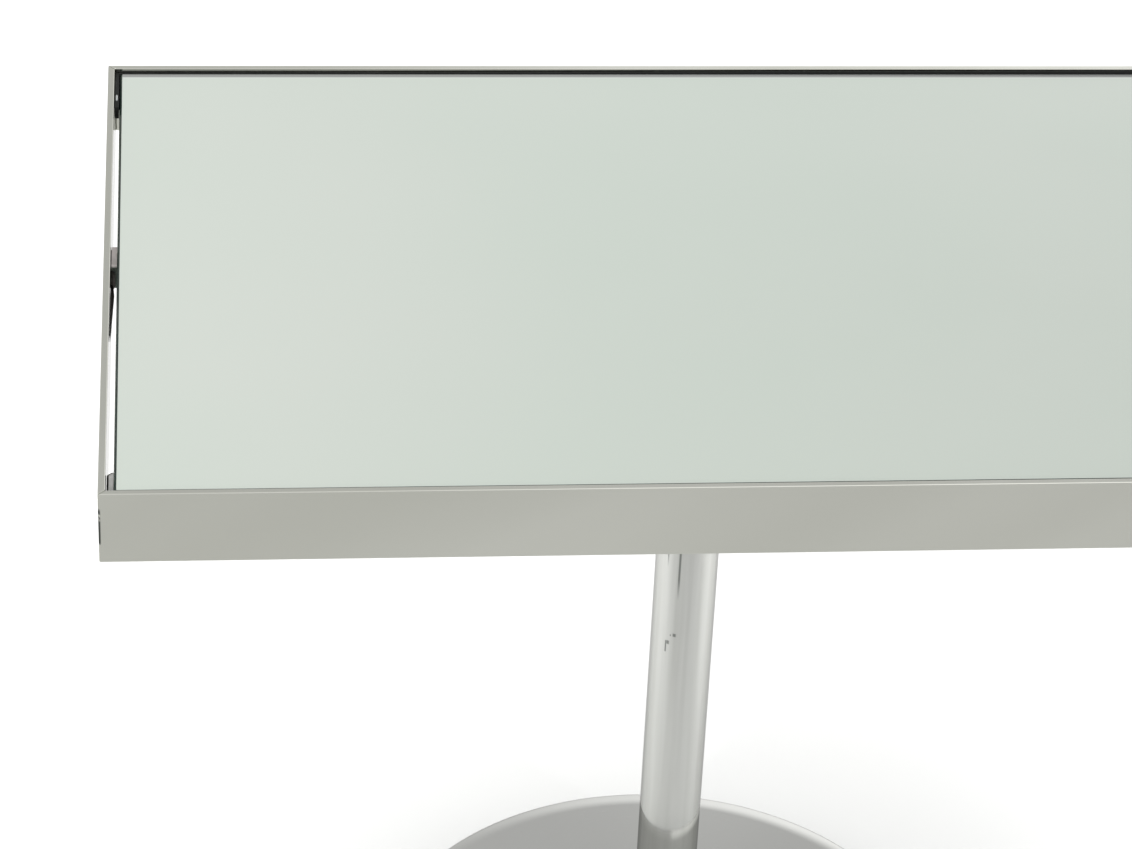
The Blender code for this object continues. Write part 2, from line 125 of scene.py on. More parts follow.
class Paint:
    """A material under construction: its Principled shader, and short ways to add nodes to it."""

    def __init__(self, name, colour, roughness, metallic=0.0, **constants):
        self.material = bpy.data.materials.new(name)
        self.material.use_nodes = True
        self.tree = self.material.node_tree
        self.shader = self.tree.nodes["Principled BSDF"]
        self.shader.inputs["Base Color"].default_value = (*colour, 1.0)
        self.shader.inputs["Roughness"].default_value = roughness
        self.shader.inputs["Metallic"].default_value = metallic
        for socket, value in constants.items():
            self.shader.inputs[socket.replace("_", " ")].default_value = value
        self.place = self.tree.nodes.new("ShaderNodeTexCoord").outputs["Object"]

    def node(self, kind, **inputs):
        made = self.tree.nodes.new(kind)
        for name, value in inputs.items():
            self.feed(value, made.inputs[name.replace("_", " ")])
        return made

    def feed(self, value, socket):
        if isinstance(value, bpy.types.NodeSocket):
            self.tree.links.new(value, socket)
        else:
            socket.default_value = value

    def math(self, operation, first, second=0.0):
        made = self.tree.nodes.new("ShaderNodeMath")
        made.operation = operation
        self.feed(first, made.inputs[0])
        self.feed(second, made.inputs[1])
        return made.outputs[0]

    def stretch(self, lengths, turn=(0.0, 0.0, 0.0)):
        """The object's own coordinates, turned and then drawn out by lengths, for streaks and brushing."""
        made = self.tree.nodes.new("ShaderNodeMapping")
        made.vector_type = "TEXTURE"
        self.feed(self.place, made.inputs["Vector"])
        made.inputs["Scale"].default_value = lengths
        made.inputs["Rotation"].default_value = [math.radians(angle) for angle in turn]
        return made.outputs["Vector"]

    def noise(self, scale, detail=3.0, roughness=0.5, vector=None):
        vector = vector or self.place
        made = self.node(
            "ShaderNodeTexNoise", Vector=vector, Scale=scale, Detail=detail, Roughness=roughness)
        return made.outputs["Fac"]

    def span(self, value, low, high, to_low=0.0, to_high=1.0):
        """value from low..high, mapped to to_low..to_high and held at its ends."""
        made = self.tree.nodes.new("ShaderNodeMapRange")
        names = ("Value", "From Min", "From Max", "To Min", "To Max")
        for name, number in zip(names, (value, low, high, to_low, to_high)):
            self.feed(number, made.inputs[name])
        return made.outputs["Result"]

    def mix(self, share, first, second):
        made = self.tree.nodes.new("ShaderNodeMix")
        made.data_type = "RGBA"
        self.feed(share, made.inputs["Factor"])
        for colour, slot in ((first, "A"), (second, "B")):
            value = colour if isinstance(colour, bpy.types.NodeSocket) else (*colour, 1.0)
            self.feed(value, [s for s in made.inputs if s.name == slot and s.type == "RGBA"][0])
        return [s for s in made.outputs if s.type == "RGBA"][0]

    def axis(self, letter):
        made = self.node("ShaderNodeSeparateXYZ", Vector=self.place)
        return made.outputs[letter]

    def colour(self, socket):
        self.feed(socket, self.shader.inputs["Base Color"])

    def roughness(self, socket):
        self.feed(socket, self.shader.inputs["Roughness"])

    def bump(self, height, distance, strength=1.0):
        made = self.tree.nodes.new("ShaderNodeBump")
        made.inputs["Strength"].default_value = strength
        made.inputs["Distance"].default_value = distance
        self.feed(height, made.inputs["Height"])
        previous = self.shader.inputs["Normal"]
        if previous.is_linked:
            self.feed(previous.links[0].from_socket, made.inputs["Normal"])
        self.feed(made.outputs["Normal"], previous)


def make_opal_glass():
    """Glossy mint glass, painted white below. The paint stops short of the back edge, and that strip is
    painted grey for the view through the glass out of its back edge.
    """
    paint = Paint("opal_glass", (0.55, 0.62, 0.55), 0.06, IOR=1.52)
    clouds = paint.span(paint.noise(2.2, 2.0, 0.4), 0.38, 0.62)
    body = paint.mix(clouds, (0.565, 0.625, 0.565), (0.590, 0.632, 0.580))
    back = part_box("glass_top")[1].y
    # painted view through the glass: the strip along the back edge takes a flat grey
    view_strip_share = paint.span(paint.axis("Y"), back - PAINTED_VIEW_STRIP - 0.0003, back - PAINTED_VIEW_STRIP + 0.0003)
    beside = paint.math("ABSOLUTE", paint.math("SUBTRACT", paint.axis("Y"), back - PAINTED_VIEW_STRIP - 0.0009))
    body = paint.mix(paint.span(beside, 0.0003, 0.0008, 0.7, 0.0), body, (0.66, 0.70, 0.67))
    paint.colour(paint.mix(view_strip_share, body, (0.30, 0.31, 0.30)))
    smudges = paint.noise(11.0, 4.0, 0.6)
    paint.roughness(paint.span(smudges, 0.35, 0.75, 0.04, 0.13))
    paint.bump(paint.noise(5.0, 1.0), 0.0004)
    return paint.material


def make_glass_edge():
    """The ground and polished edge, where the glass shows its own dark green."""
    paint = Paint("glass_edge", (0.010, 0.022, 0.017), 0.12, IOR=1.52, Specular_IOR_Level=0.22)
    lines = paint.noise(60.0, 2.0, vector=paint.stretch((1.0, 1.0, 0.08)))
    paint.colour(paint.mix(paint.span(lines, 0.3, 0.7), (0.008, 0.017, 0.013), (0.016, 0.032, 0.026)))
    paint.roughness(paint.span(lines, 0.3, 0.7, 0.06, 0.16))
    return paint.material


def product(paint, first, *others):
    for other in others:
        first = paint.math("MULTIPLY", first, other)
    return first


def corner_marks(paint):
    """Dark specks left in the seam of the front left corner."""
    side = paint.span(paint.axis("X"), -0.4490, -0.4482, 1.0, 0.0)
    front = paint.span(paint.axis("Y"), -0.2988, -0.2980, 1.0, 0.0)
    low = paint.span(paint.axis("Z"), 0.7080, 0.7100)
    high = paint.span(paint.axis("Z"), 0.7360, 0.7385, 1.0, 0.0)
    specks = paint.span(paint.noise(170.0, 2.0, 0.5), 0.30, 0.40)
    return product(paint, side, front, low, high, specks)


def make_polished_steel():
    """Bar polished by hand: slow slanting bands of painted reflection, faint waves, fine wear."""
    paint = Paint("polished_steel", (0.69, 0.695, 0.63), 0.10, 1.0, Specular_Tint=(0.5, 0.5, 0.5, 1.0))
    # painted reflection: slanting lighter and darker bands in the metal's colour
    reflection_streaks = paint.noise(5.2, 1.5, 0.45, paint.stretch((7.0, 7.0, 1.0), (0.0, -REFLECTION_STREAK_SLANT, 0.0)))
    tone = paint.mix(paint.span(reflection_streaks, 0.38, 0.62), (0.620, 0.624, 0.560), (0.755, 0.762, 0.700))
    oxide = corner_marks(paint)
    paint.colour(paint.mix(oxide, tone, (0.060, 0.066, 0.060)))
    shine = paint.math("SUBTRACT", 1.0, oxide)
    paint.feed(shine, paint.shader.inputs["Metallic"])
    paint.feed(paint.math("MULTIPLY", shine, 0.5), paint.shader.inputs["Specular IOR Level"])
    buffing = paint.noise(38.0, 3.0, 0.6, paint.stretch((4.0, 4.0, 0.11)))
    paint.roughness(paint.span(buffing, 0.3, 0.75, 0.07, 0.17))
    paint.bump(paint.noise(3.2, 1.0, 0.4), 0.0006)
    paint.bump(paint.noise(55.0, 2.0, 0.5, paint.stretch((10.0, 10.0, 0.07))), 0.000004)
    return paint.material


def make_chrome(name="chrome"):
    """Bright chrome plate with hair scratches and a little haze."""
    paint = Paint(name, (0.675, 0.675, 0.655), 0.06, 1.0, Specular_Tint=(0.55, 0.55, 0.55, 1.0))
    haze = paint.noise(9.0, 4.0, 0.6)
    paint.roughness(paint.span(haze, 0.35, 0.75, 0.035, 0.11))
    scratches = paint.noise(160.0, 2.0, 0.7, paint.stretch((1.0, 1.0, 33.0)))
    paint.bump(paint.span(scratches, 0.62, 0.72), 0.000006)
    paint.colour(paint.mix(paint.span(haze, 0.3, 0.8), (0.675, 0.678, 0.655), (0.635, 0.638, 0.615)))
    return paint


def make_mill_steel():
    """Bare steel section: mottled grey scale, drawn lines along its length."""
    paint = Paint("mill_steel", (0.30, 0.30, 0.29), 0.38, 1.0)
    scale = paint.noise(45.0, 5.0, 0.65)
    paint.colour(paint.mix(paint.span(scale, 0.35, 0.70), (0.34, 0.34, 0.33), (0.17, 0.17, 0.165)))
    paint.roughness(paint.span(scale, 0.3, 0.7, 0.26, 0.46))
    paint.bump(paint.noise(420.0, 3.0, 0.6), 0.00003)
    return paint.material


def make_beam_steel():
    """Cold-drawn section, coloured by which way each face points: painted light, bright and faintly rosy,
    on top, and painted shade, grey-green, on its sides.
    """
    paint = Paint("beam_steel", (0.30, 0.31, 0.29), 0.30, 0.85)
    geometry = paint.tree.nodes.new("ShaderNodeNewGeometry")
    light_by_facing = paint.node("ShaderNodeSeparateXYZ", Vector=geometry.outputs["Normal"]).outputs["Z"]
    mottle = paint.span(paint.noise(60.0, 4.0, 0.6), 0.35, 0.68)
    # painted light on faces that point up, painted shade on the side faces
    ground = paint.mix(mottle, (0.80, 0.74, 0.72), (0.62, 0.58, 0.56))
    sides = paint.mix(mottle, (0.13, 0.15, 0.13), (0.07, 0.08, 0.07))
    paint.colour(paint.mix(paint.span(light_by_facing, 0.5, 0.9), sides, ground))
    paint.roughness(paint.span(paint.noise(160.0, 3.0), 0.3, 0.7, 0.24, 0.44))
    return paint.material


def make_bracket_steel():
    """Ground plate: light grey with a cloudy, slightly scaled surface."""
    paint = Paint("bracket_steel", (0.70, 0.70, 0.68), 0.36, 1.0)
    cloud = paint.noise(75.0, 5.0, 0.6)
    paint.colour(paint.mix(paint.span(cloud, 0.35, 0.70), (0.78, 0.78, 0.76), (0.52, 0.53, 0.51)))
    paint.roughness(paint.span(cloud, 0.3, 0.7, 0.28, 0.46))
    paint.bump(paint.noise(380.0, 3.0, 0.6), 0.00002)
    return paint.material


def make_dark_steel():
    """Nearly black steel, on the brackets' edge faces, the weld beads and the beads of painted reflection
    along the end bars.
    """
    paint = Paint("dark_steel", (0.045, 0.043, 0.040), 0.45, 0.9)
    dark_speckle = paint.noise(240.0, 4.0, 0.6)
    paint.colour(paint.mix(paint.span(dark_speckle, 0.35, 0.7), (0.035, 0.033, 0.031), (0.085, 0.078, 0.070)))
    paint.roughness(paint.span(dark_speckle, 0.3, 0.7, 0.30, 0.55))
    paint.bump(dark_speckle, 0.00008)
    return paint.material


def make_zinc():
    """Bright zinc plate with a soft crystalline mottle."""
    paint = Paint("zinc_plate", (0.58, 0.60, 0.62), 0.28, 1.0)
    cells = paint.node("ShaderNodeTexVoronoi", Vector=paint.place, Scale=700.0).outputs["Distance"]
    tone = paint.span(cells, 0.0, 0.8)
    paint.colour(paint.mix(tone, (0.50, 0.53, 0.56), (0.66, 0.67, 0.66)))
    paint.roughness(paint.span(paint.noise(90.0, 4.0), 0.3, 0.7, 0.20, 0.38))
    return paint.material


def make_black_iron():
    """Black paint over the grain of a sand casting."""
    paint = Paint("black_iron", (0.035, 0.035, 0.035), 0.55)
    grain = paint.noise(260.0, 5.0, 0.6)
    paint.colour(paint.mix(paint.span(grain, 0.3, 0.75), (0.026, 0.026, 0.027), (0.055, 0.054, 0.052)))
    paint.roughness(paint.span(grain, 0.3, 0.7, 0.45, 0.68))
    paint.bump(grain, 0.0004)
    return paint.material


def make_silicone():
    paint = Paint("clear_silicone", (0.74, 0.76, 0.75), 0.42, IOR=1.41, Subsurface_Weight=0.25)
    paint.shader.inputs["Subsurface Scale"].default_value = 0.003
    dust = paint.noise(500.0, 3.0, 0.6)
    paint.colour(paint.mix(paint.span(dust, 0.5, 0.8), (0.76, 0.78, 0.77), (0.60, 0.61, 0.60)))
    paint.roughness(paint.span(dust, 0.3, 0.7, 0.34, 0.52))
    return paint.material


def make_black_plastic(name, colour, worn, roughness, grain_scale):
    """Moulded black plastic or rubber: fine grain, paler where it is scuffed."""
    paint = Paint(name, colour, roughness, Specular_IOR_Level=0.25)
    grain = paint.noise(grain_scale, 4.0, 0.6)
    scuff = paint.span(paint.noise(70.0, 5.0, 0.7), 0.55, 0.80)
    paint.colour(paint.mix(scuff, colour, worn))
    paint.roughness(paint.span(grain, 0.3, 0.7, roughness - 0.08, roughness + 0.12))
    paint.bump(grain, 0.00005)
    return paint.material


def make_column_chrome():
    """The column's plate, with its marks: two scuff lines at the top and a chipped spot lower down."""
    paint = make_chrome("column_chrome")
    axis_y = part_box("column_tube")[0].y + COLUMN_RADIUS
    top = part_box("column_tube")[1].z
    turn = paint.math("ARCTAN2", paint.axis("X"), paint.math("SUBTRACT", axis_y, paint.axis("Y")))
    height = paint.axis("Z")

    def patch(angle, half_angle, low, high, soft):
        """1 inside a patch of the surface, given by its turn from the front and its heights."""
        off = paint.math("ABSOLUTE", paint.math("SUBTRACT", turn, math.radians(angle)))
        side = paint.span(off, math.radians(half_angle), math.radians(half_angle * 0.4))
        below = paint.span(height, top - high, top - high + soft)
        above = paint.span(height, top - low, top - low - soft)
        return paint.math("MULTIPLY", side, paint.math("MULTIPLY", below, above))

    marks = [patch(*mark) for mark in COLUMN_MARKS]
    dark = marks[0]
    for mark in marks[1:]:
        dark = paint.math("MAXIMUM", dark, mark)
    drawn = paint.noise(75.0, 3.0, 0.6, paint.stretch((1.0, 1.0, 40.0)))
    lines = paint.span(drawn, 0.36, 0.64)
    plate = paint.mix(lines, (0.595, 0.60, 0.575), (0.705, 0.71, 0.688))
    paint.colour(paint.mix(paint.math("MULTIPLY", dark, 0.72), plate, (0.10, 0.11, 0.10)))
    return paint.material


# ---------------------------------------------------------------- geometry helpers


def add_piece(name, bm, materials, body, slot, *stood_for, smooth=SMOOTH_ANGLE):
    """Turns a bmesh into a piece that rides on a body and stands for CAD nodes."""
    bmesh.ops.recalc_face_normals(bm, faces=bm.faces)
    mesh = bpy.data.meshes.new(name)
    bm.to_mesh(mesh)
    bm.free()
    mesh.shade_smooth()
    mesh.set_sharp_from_angle(angle=math.radians(smooth))
    for material in materials:
        mesh.materials.append(material)
    piece = bpy.data.objects.new(name, mesh)
    bpy.context.scene.collection.objects.link(piece)
    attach(piece, body)
    if stood_for:
        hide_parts(*stood_for)
    return piece


def round_edges(piece, width, segments):
    bevel = piece.modifiers.new("edges", "BEVEL")
    bevel.width = width
    bevel.segments = segments
    bevel.limit_method = "ANGLE"
    bevel.angle_limit = math.radians(40)
    bevel.harden_normals = True
    return piece


def circle(radius, sides, centre=(0.0, 0.0)):
    angles = [2 * math.pi * k / sides for k in range(sides)]
    return [(centre[0] + radius * math.cos(a), centre[1] + radius * math.sin(a)) for a in angles]


def hexagon(flats, steps, centre=(0.0, 0.0)):
    """A hexagon's outline, each side cut into equal steps so that it can be joined to a circle."""
    corners = [Vector(point) for point in circle(flats / math.sqrt(3), 6, centre)]
    pairs = zip(corners, corners[1:] + corners[:1])
    return [tuple(a.lerp(b, k / steps)) for a, b in pairs for k in range(steps)]


def arc(centre, radius, start, end, steps):
    angles = [math.radians(start + (end - start) * k / steps) for k in range(steps + 1)]
    return [(centre[0] + radius * math.cos(a), centre[1] + radius * math.sin(a)) for a in angles]


def skin(bm, rings, closed=False, caps=False):
    """Joins rings of equally many 3-D points with faces. Returns the rings' vertices."""
    made = [[bm.verts.new(point) for point in ring] for ring in rings]
    count = len(made[0])
    pairs = list(zip(made, made[1:] + made[:1])) if closed else list(zip(made, made[1:]))
    for near, far in pairs:
        for k in range(count):
            after = (k + 1) % count
            bm.faces.new([near[k], near[after], far[after], far[k]])
    if caps:
        bm.faces.new(made[0])
        bm.faces.new(made[-1])
    return made


def flat_ring(outline, z):
    return [(x, y, z) for x, y in outline]


def turned(profile, sides, centre):
    """A closed ring-shaped body: a profile of (radius, z) points turned about a vertical axis."""
    bm = bmesh.new()
    skin(bm, [flat_ring(circle(radius, sides, centre), z) for radius, z in profile], closed=True)
    return bm


def stacked(levels):
    """A solid from outlines at rising or stepping heights, closed at both ends."""
    bm = bmesh.new()
    skin(bm, [flat_ring(outline, z) for outline, z in levels], caps=True)
    return bm


def thread_rings(radius, pitch, low, high, sides, centre):
    """Rings of a helical thread from low to high, tapered in at its upper end."""
    rows = max(2, round((high - low) / pitch * 6))
    rings = []
    for row in range(rows + 1):
        z = low + (high - low) * row / rows
        ring = []
        for k in range(sides):
            wave = abs(((z / pitch - k / sides) % 1.0) * 2 - 1)
            lead = min(1.0, (high - z) / pitch + 0.15)
            r = radius - pitch * THREAD_DEPTH * (wave * 0.8 + (1 - lead) * 0.5)
            a = 2 * math.pi * k / sides
            ring.append((centre[0] + r * math.cos(a), centre[1] + r * math.sin(a), z))
        rings.append(ring)
    return rings


def weld_bead(bm, start, end, radius, seed, last=None):
    """A run of weld: a half-sunk rippled bead, which may thin out to a last radius."""
    start, end = Vector(start), Vector(end)
    along = (end - start).normalized()
    across = along.orthogonal().normalized()
    up = along.cross(across)
    steps = max(6, round((end - start).length / (radius * 0.35)))
    rings = []
    for step in range(steps + 1):
        share = step / steps
        ease = min(1.0, share * 6, (1 - share) * 6)
        middle_radius = radius + ((last or radius) - radius) * share
        swell = middle_radius * (0.45 + 0.55 * ease) * (1 + 0.10 * math.sin(step * 1.9 + seed))
        middle = start.lerp(end, share)
        rings.append([
            tuple(middle + across * swell * math.cos(a) + up * swell * math.sin(a))
            for a in (2 * math.pi * k / 10 for k in range(10))
        ])
    skin(bm, rings, caps=True)


# ---------------------------------------------------------------- the pieces


def paint_node(name, material):
    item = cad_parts[name]
    if not item.material_slots:
        item.data.materials.append(material)
    for place in item.material_slots:
        place.material = material


def make_glass_top(opal, edge):
    """The pane, with a ground arris all round its upper and lower edges."""
    low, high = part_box("glass_top")
    corner = 0.002

    def outline(inset):
        left, right = low.x + inset, high.x - inset
        fronts = [low.y + inset * width / GLASS_ARRIS for width in FRONT_ARRIS]
        back = high.y - inset * BACK_ARRIS / GLASS_ARRIS
        r = max(corner - inset, 0.0006)
        points = []
        corners = (
            (right, back, 0),
            (left, back, 90),
            (left + GLASS_SKEW, fronts[0], 180),
            (right, fronts[1], 270),
        )
        for x, y, start in corners:
            centre = (x - math.copysign(r, x), y - math.copysign(r, y))
            points += arc(centre, r, start, start + 90, 6)
        return points

    fold = GLASS_ARRIS * 0.35
    levels = [
        (outline(GLASS_ARRIS), low.z),
        (outline(GLASS_ARRIS * 0.3), low.z + fold),
        (outline(0), low.z + GLASS_ARRIS),
        (outline(0), high.z - GLASS_ARRIS),
        (outline(GLASS_ARRIS * 0.3), high.z - fold),
        (outline(GLASS_ARRIS), high.z),
    ]
    bm = stacked(levels)
    piece = add_piece("glass_pane", bm, [opal, edge], "glass", "opal_glass", "glass_top", smooth=18)
    for face in piece.data.polygons:
        face.material_index = 0 if abs(face.normal.z) > 0.98 else 1
    return piece


def rounded_section(width, height, radius, steps):
    """Outline of a section tube's wall face, with round corners."""
    w, h = width / 2 - radius, height / 2 - radius
    points = []
    for y, z, start in ((w, h, 0), (-w, h, 90), (-w, -h, 180), (w, -h, 270)):
        points += arc((y, z), radius, start, start + 90, steps)
    return points


def make_section(node, along, material):
    """A box-section tube with rolled corners, standing for the plain one in the frame."""
    low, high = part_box(node)
    middle = (low + high) / 2
    size = high - low
    width = size.y if along == "x" else size.x
    wall = SECTION_WALL
    outer = rounded_section(width, size.z, TUBE_CORNER, 5)
    inner = rounded_section(width - 2 * wall, size.z - 2 * wall, TUBE_CORNER - wall, 5)

    def ring(outline, end):
        if along == "x":
            return [(end, middle.y + a, middle.z + b) for a, b in outline]
        return [(middle.x + a, end, middle.z + b) for a, b in outline]

    ends = (low.x, high.x) if along == "x" else (low.y, high.y)
    bm = bmesh.new()
    rings = [ring(outer, ends[0]), ring(outer, ends[1]), ring(inner, ends[1]), ring(inner, ends[0])]
    skin(bm, rings, closed=True)
    return add_piece(f"{node}_tube", bm, [material], "frame", "mill_steel", node, smooth=30)


def make_bracket(corner, steel, dark):
    """An angle bracket whose shelf has dark edge faces."""
    side_x, side_y = CORNERS[corner]
    node = f"corner_bracket_{corner}"
    low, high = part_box(node)
    thick = BRACKET_THICK
    end, tail = (low.x, high.x) if side_x < 0 else (high.x, low.x)
    wall, lip = (low.y, high.y) if side_y < 0 else (high.y, low.y)
    bm = bmesh.new()
    cut = FRONT_CUT if side_y < 0 else BACK_CUT
    shelf = [(end, wall), (tail, wall), (tail, lip), (end - side_x * cut, lip), (end, lip + side_y * cut)]

    def shrink(points, inset):
        centre = Vector(((end + tail) / 2, (wall + lip) / 2))
        half = Vector((abs(end - tail) / 2, abs(wall - lip) / 2))
        factor = Vector((1 - inset / half.x, 1 - inset / half.y))
        moved = ((x - centre.x, y - centre.y) for x, y in points)
        return [(centre.x + x * factor.x, centre.y + y * factor.y) for x, y in moved]

    top = high.z
    rings = [
        flat_ring(shelf, top - thick),
        flat_ring(shelf, top - BRACKET_ARRIS),
        flat_ring(shrink(shelf, BRACKET_ARRIS * 0.35), top - BRACKET_ARRIS * 0.3),
        flat_ring(shrink(shelf, BRACKET_ARRIS), top),
    ]
    skin(bm, rings, caps=True)
    leg_far = wall - side_y * thick
    leg = [(end, wall), (tail, wall), (tail, leg_far), (end, leg_far)]
    skin(bm, [flat_ring(leg, low.z), flat_ring(leg, top - thick - 0.0001)], caps=True)
    piece = add_piece(f"{node}_plate", bm, [steel, dark], "frame", "mill_steel", node, smooth=18)
    for face in piece.data.polygons:
        on_top = face.normal.z > 0.98
        inside = face.normal.z < 0.2 and face.center.z < top - thick
        face.material_index = 0 if on_top or inside else 1
    return piece


def make_welds(dark):
    """Weld runs that hold the beam, rails, plate and brackets, and along each end bar a dark bead that is a
    painted reflection.
    """
    bm = bmesh.new()
    beam_low, beam_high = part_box("centre_beam")
    radius = WELD_RADIUS
    seed = 0
    runs = []
    for x in (beam_low.x + radius * 0.3, beam_high.x - radius * 0.3):
        runs.append(((x, beam_low.y + 0.002, beam_low.z), (x, beam_high.y - 0.002, beam_low.z)))
        for y in (beam_low.y, beam_high.y):
            runs.append(((x, y, beam_low.z + 0.001), (x, y, beam_high.z - 0.004)))
    for node, meeting, bar_end in (("front_rail", beam_low.y, 0), ("back_rail", beam_high.y, 1)):
        low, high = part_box(node)
        bar = low.y if bar_end == 0 else high.y
        for x in (low.x, high.x):
            for y in (meeting, bar):
                runs.append(((x, y, low.z + 0.002), (x, y, high.z - 0.004)))
    plate_low, plate_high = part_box("spider_plate")
    for y in (beam_low.y, beam_high.y):
        left = (plate_low.x + 0.006, plate_low.x + 0.045)
        right = (plate_high.x - 0.045, plate_high.x - 0.006)
        for start, end in (left, right):
            runs.append(((start, y, beam_low.z), (end, y, beam_low.z)))
    for corner, (_, side_y) in CORNERS.items():
        low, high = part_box(f"corner_bracket_{corner}")
        wall = low.y if side_y < 0 else high.y
        for start, end in ((low.x + 0.004, low.x + 0.016), (high.x - 0.016, high.x - 0.004)):
            runs.append(((start, wall, low.z), (end, wall, low.z)))
    # painted reflection: a dark bead on each end bar's inner face, rising forward from the beam
    for side in (-1, 1):
        wall = side * (beam_high.x - REFLECTION_BEAD_RADIUS[1] * 0.5)
        start = (wall, beam_low.y + 0.001, beam_low.z + 0.001)
        reflection_bead_end = (wall, beam_low.y - REFLECTION_BEAD_LENGTH, REFLECTION_BEAD_END_Z)
        weld_bead(bm, start, reflection_bead_end, REFLECTION_BEAD_RADIUS[0], side, REFLECTION_BEAD_RADIUS[1])
    for start, end in runs:
        seed += 1
        weld_bead(bm, start, end, radius, seed)
    return add_piece("weld_and_reflection_beads", bm, [dark], "frame", "mill_steel", smooth=60)


def make_column(material):
    low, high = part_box("column_tube")
    wall, ease = 0.002, 0.0004
    profile = [
        (COLUMN_RADIUS, low.z + ease),
        (COLUMN_RADIUS, high.z - ease),
        (COLUMN_RADIUS - ease, high.z),
        (COLUMN_RADIUS - wall, high.z),
        (COLUMN_RADIUS - wall, low.z),
        (COLUMN_RADIUS - ease, low.z),
    ]
    bm = turned(profile, 160, column_centre())
    return add_piece("column_shell", bm, [material], "frame", "chrome", "column_tube")


def column_centre():
    low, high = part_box("column_tube")
    return ((low.x + high.x) / 2, (low.y + high.y) / 2)


def make_cover(material):
    """The spun cover: a rolled hem, a tight shoulder and a slope that eases up to the hub."""
    low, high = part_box("base_cover")
    radius = (high.x - low.x) / 2
    thick, shoulder = 0.0015, 0.006
    hole, hub = 0.0265, 0.045
    rise = high.z - low.z
    foot = radius - shoulder

    def slope(r, drop):
        """The cover's upper side, a straight cone eased into the flat hub."""
        share = (foot - r) / (foot - hub)
        cone = high.z - (1 - min(share, 1)) * rise * 0.42
        return cone - drop

    def side(skirt, drop, base):
        bend = skirt - shoulder + drop
        top = slope(foot, drop)
        inner = shoulder - drop
        points = [(skirt, base)]
        points += arc((bend, top - inner), inner, 0, 84, 8)
        radii = [foot + (hub - foot) * k / 14 for k in range(1, 15)]
        points += [(r, slope(r, drop)) for r in radii]
        points += [(hole, high.z - drop)]
        return points

    hem = low.z + 0.0008
    outside = side(radius, 0.0, hem)
    inside = side(radius - thick, thick, hem)
    roll = arc((radius - thick / 2, hem), thick / 2, 180, 360, 6)[1:-1]
    profile = outside + inside[::-1] + roll
    bm = turned(profile, 192, column_centre())
    return add_piece("base_cover_skin", bm, [material], "frame", "chrome", "base_cover")


def make_collar(material):
    low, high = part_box("base_collar")
    radius = (high.x - low.x) / 2
    bore = COLUMN_RADIUS + SLACK
    lip, groove = 0.003, 0.0006
    rounding = high.z - low.z - lip
    profile = [(bore, low.z), (radius - 0.0006, low.z), (radius, low.z + 0.0006)]
    profile += [(radius, low.z + lip - groove), (radius - groove, low.z + lip)]
    profile += arc((radius - rounding, low.z + lip), rounding, 4, 90, 18)
    profile += [(bore + 0.0006, high.z), (bore, high.z - 0.0006)]
    bm = turned(profile, 128, column_centre())
    return add_piece("base_collar_ring", bm, [material], "frame", "chrome", "base_collar")


def bolt_centres():
    centres = {}
    for number in range(1, 5):
        low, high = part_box(f"flange_bolt_{number}")
        centres[number] = tuple(((low + high) / 2)[:2])
    return centres


def cut_bolt_holes(piece, centres, radius, low, high):
    """Drills the bolts' holes through a piece, and removes the drill."""
    bm = bmesh.new()
    for centre in centres:
        skin(bm, [flat_ring(circle(radius, 40, centre), z) for z in (low, high)], caps=True)
    bmesh.ops.recalc_face_normals(bm, faces=bm.faces)
    mesh = bpy.data.meshes.new("drill")
    bm.to_mesh(mesh)
    bm.free()
    drill = bpy.data.objects.new("drill", mesh)
    bpy.context.scene.collection.objects.link(drill)
    cut = piece.modifiers.new("holes", "BOOLEAN")
    cut.operation = "DIFFERENCE"
    cut.solver = "EXACT"
    cut.object = drill
    bpy.context.view_layer.update()
    made = bpy.data.meshes.new_from_object(piece.evaluated_get(bpy.context.evaluated_depsgraph_get()))
    piece.modifiers.clear()
    piece.data = made
    made.shade_smooth()
    made.set_sharp_from_angle(angle=math.radians(SMOOTH_ANGLE))
    bpy.data.objects.remove(drill)


def make_flange(material):
    low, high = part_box("top_flange")
    radius = (high.x - low.x) / 2
    thick, bore = 0.008, 0.0063
    spigot = COLUMN_RADIUS - 0.0023
    ease = 0.0012
    base = high.z - thick
    profile = [(bore, high.z), (bore, low.z)]
    profile += [(spigot - 0.001, low.z), (spigot, low.z + 0.001), (spigot, base)]
    profile += arc((radius - ease, base + ease), ease, -90, 0, 4)
    profile += [(radius, high.z - 0.0005), (radius - 0.0005, high.z)]
    bm = turned(profile, 128, column_centre())
    piece = add_piece("top_flange_turned", bm, [material], "frame", "chrome", "top_flange")
    cut_bolt_holes(piece, bolt_centres().values(), BOLT_HOLE_RADIUS, base - 0.002, high.z + 0.002)
    return piece


def make_plate(material):
    low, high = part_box("spider_plate")
    corner = 0.004
    points = []
    turns = ((high.x, high.y, 0), (low.x, high.y, 90), (low.x, low.y, 180), (high.x, low.y, 270))
    for x, y, start in turns:
        centre = (x - corner if x == high.x else x + corner, y - corner if y == high.y else y + corner)
        points += arc(centre, corner, start, start + 90, 5)
    bm = stacked([(points, low.z), (points, high.z)])
    piece = add_piece("spider_plate_steel", bm, [material], "frame", "mill_steel", "spider_plate")
    cut_bolt_holes(piece, bolt_centres().values(), BOLT_HOLE_RADIUS, low.z - 0.002, high.z + 0.002)
    return round_edges(piece, 0.0005, 2)


